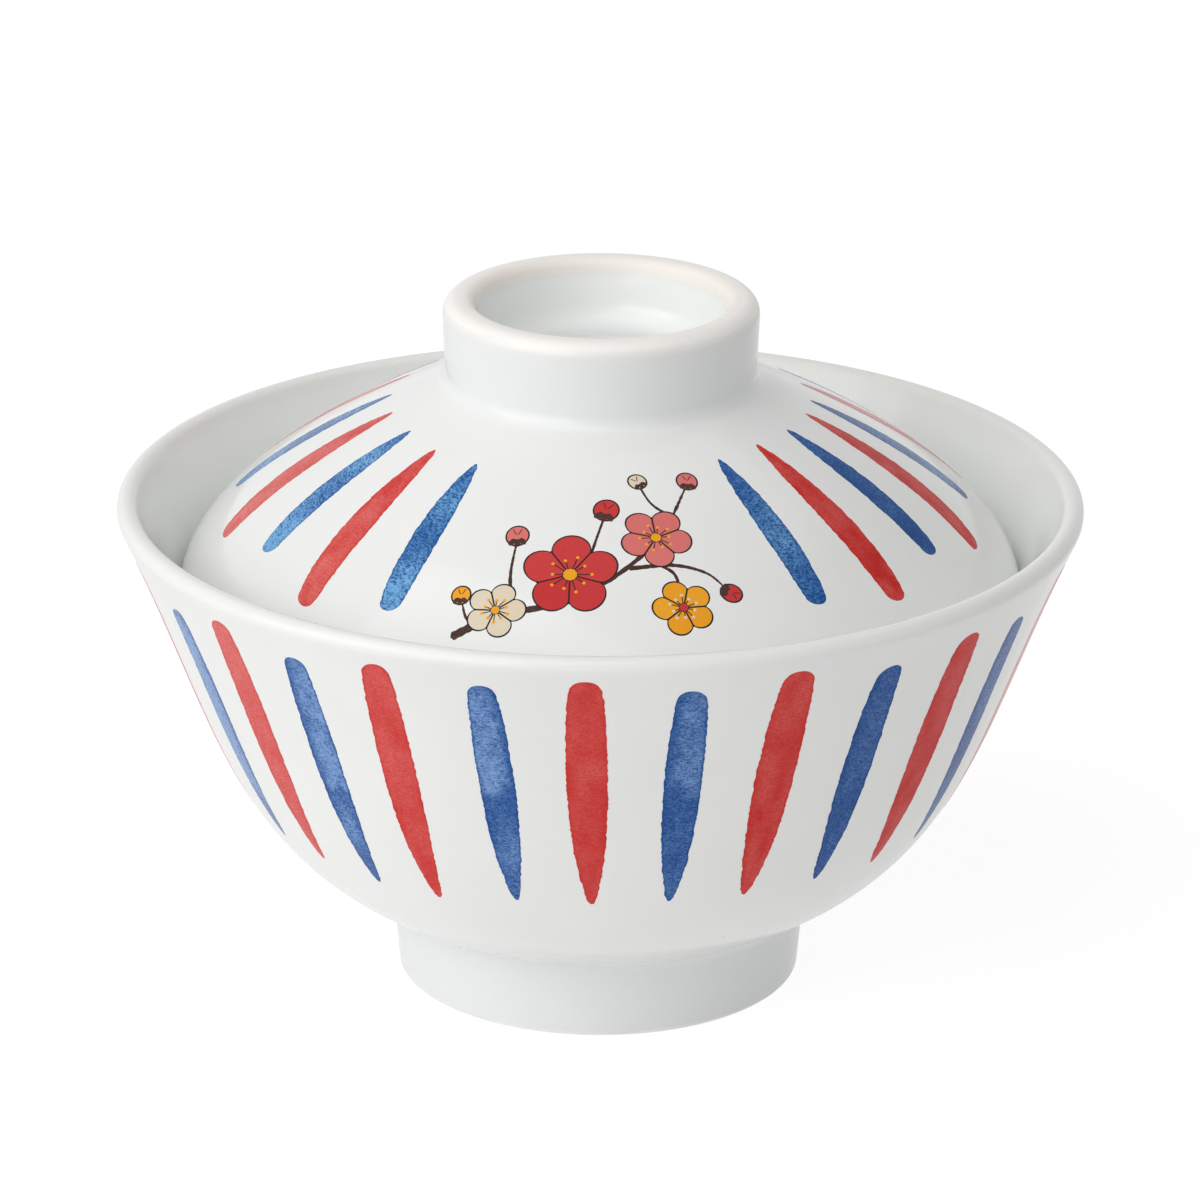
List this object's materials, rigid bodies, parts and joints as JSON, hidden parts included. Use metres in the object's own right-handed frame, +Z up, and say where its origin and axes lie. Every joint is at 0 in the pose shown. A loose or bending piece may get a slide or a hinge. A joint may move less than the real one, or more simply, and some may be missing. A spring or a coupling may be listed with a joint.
{
  "type": "lidded donburi bowl",
  "caption": "Deep flared porcelain rice bowl on a foot ring, with a domed lid that seats inside the rim and carries a ring knob; painted with tapering stripes.",
  "frame": {"origin": "centre of the circle that the foot ring stands on", "axes": "+Z up along the axis of both pieces, -Y towards the front, where the lid's stripes leave a gap"},
  "size_m": [0.155, 0.155, 0.114],
  "materials": {
    "bowl_glaze": "clear gloss glaze over cool white porcelain, with painted red and blue stripes",
    "lid_glaze": "clear gloss glaze over cool white porcelain, with painted red and blue stripes and a bare warm-toned knob ring edge"
  },
  "bodies": {
    "bowl": {"bowl": "bowl_glaze"},
    "lid": {"lid": "lid_glaze"}
  },
  "joints": [
    {"name": "lid_lift", "type": "slide", "parent": "bowl", "child": "lid", "axis": [0, 0, 1], "range_m": [0, 0.08]}
  ]
}
